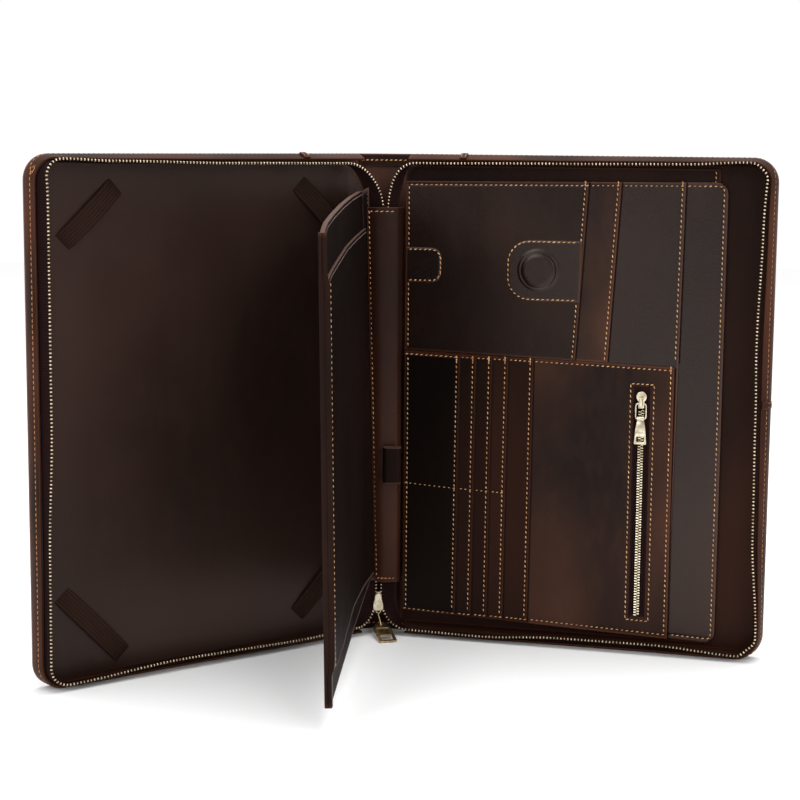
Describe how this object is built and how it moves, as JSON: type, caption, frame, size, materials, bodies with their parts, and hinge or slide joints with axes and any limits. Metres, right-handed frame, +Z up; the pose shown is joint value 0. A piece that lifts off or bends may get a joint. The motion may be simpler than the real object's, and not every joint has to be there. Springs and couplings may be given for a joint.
{
  "type": "laptop portfolio",
  "caption": "Zip-around leather portfolio standing open like a book, with corner straps, a leaf, a pen loop, card slots and a zipped pocket.",
  "frame": {"origin": "middle of the ground that the open portfolio covers", "axes": "+Z up, +X from the left cover to the right cover as seen from inside, -Y out of the open covers towards the viewer"},
  "size_m": [0.4982, 0.2504, 0.3512],
  "materials": {
    "leather": "waxed, semi-gloss",
    "edge_leather": "waxed, semi-gloss",
    "lining_leather": "smooth, semi-gloss",
    "zip_tape": "woven, matt",
    "elastic": "ribbed, matt",
    "antique_brass": "aged",
    "pale_metal": "polished, warm"
  },
  "bodies": {
    "portfolio": {"left_cover": "leather", "right_cover": "leather", "spine_back": "leather", "spine_top_hem": "edge_leather", "spine_bottom_hem": "edge_leather", "left_edge_strip": "edge_leather", "right_edge_strip": "edge_leather", "left_top_seam_tab": "edge_leather", "right_top_seam_tab": "edge_leather", "right_side_seam_tab": "edge_leather", "left_zip_tape": "zip_tape", "right_zip_tape": "zip_tape", "left_zip_teeth": "antique_brass", "right_zip_teeth": "antique_brass", "left_lining": "lining_leather", "right_lining": "lining_leather", "strap_top_outer": "elastic", "strap_top_inner": "elastic", "strap_bottom_outer": "elastic", "strap_bottom_inner": "elastic", "spine_strip": "leather", "pen_loop": "leather", "leaf_back": "leather", "leaf_pocket": "leather", "rear_pocket": "lining_leather", "organiser_panel": "lining_leather", "tall_pocket": "lining_leather", "pen_pocket": "leather", "upper_pocket": "lining_leather", "small_magnet_pad": "lining_leather", "large_magnet_pad": "lining_leather", "magnet_cover": "lining_leather", "lower_pocket": "leather", "card_slot_1": "leather", "card_slot_2": "leather", "card_slot_3": "lining_leather", "card_slot_4": "lining_leather", "card_slot_5": "lining_leather", "pocket_zip_tape": "zip_tape", "pocket_zip_teeth": "antique_brass", "pocket_slider": "pale_metal", "main_slider": "pale_metal", "main_link": "pale_metal", "main_pull": "antique_brass"},
    "pocket_pull": {"pocket_link": "pale_metal", "pocket_tab": "pale_metal"}
  },
  "joints": [
    {"name": "pocket_pull_hinge", "type": "hinge", "parent": "portfolio", "child": "pocket_pull", "pos_m": [0.16026, 0.06123, 0.17865], "axis": [-0.965, 0.2622, 0], "range_deg": [0, 150]}
  ]
}
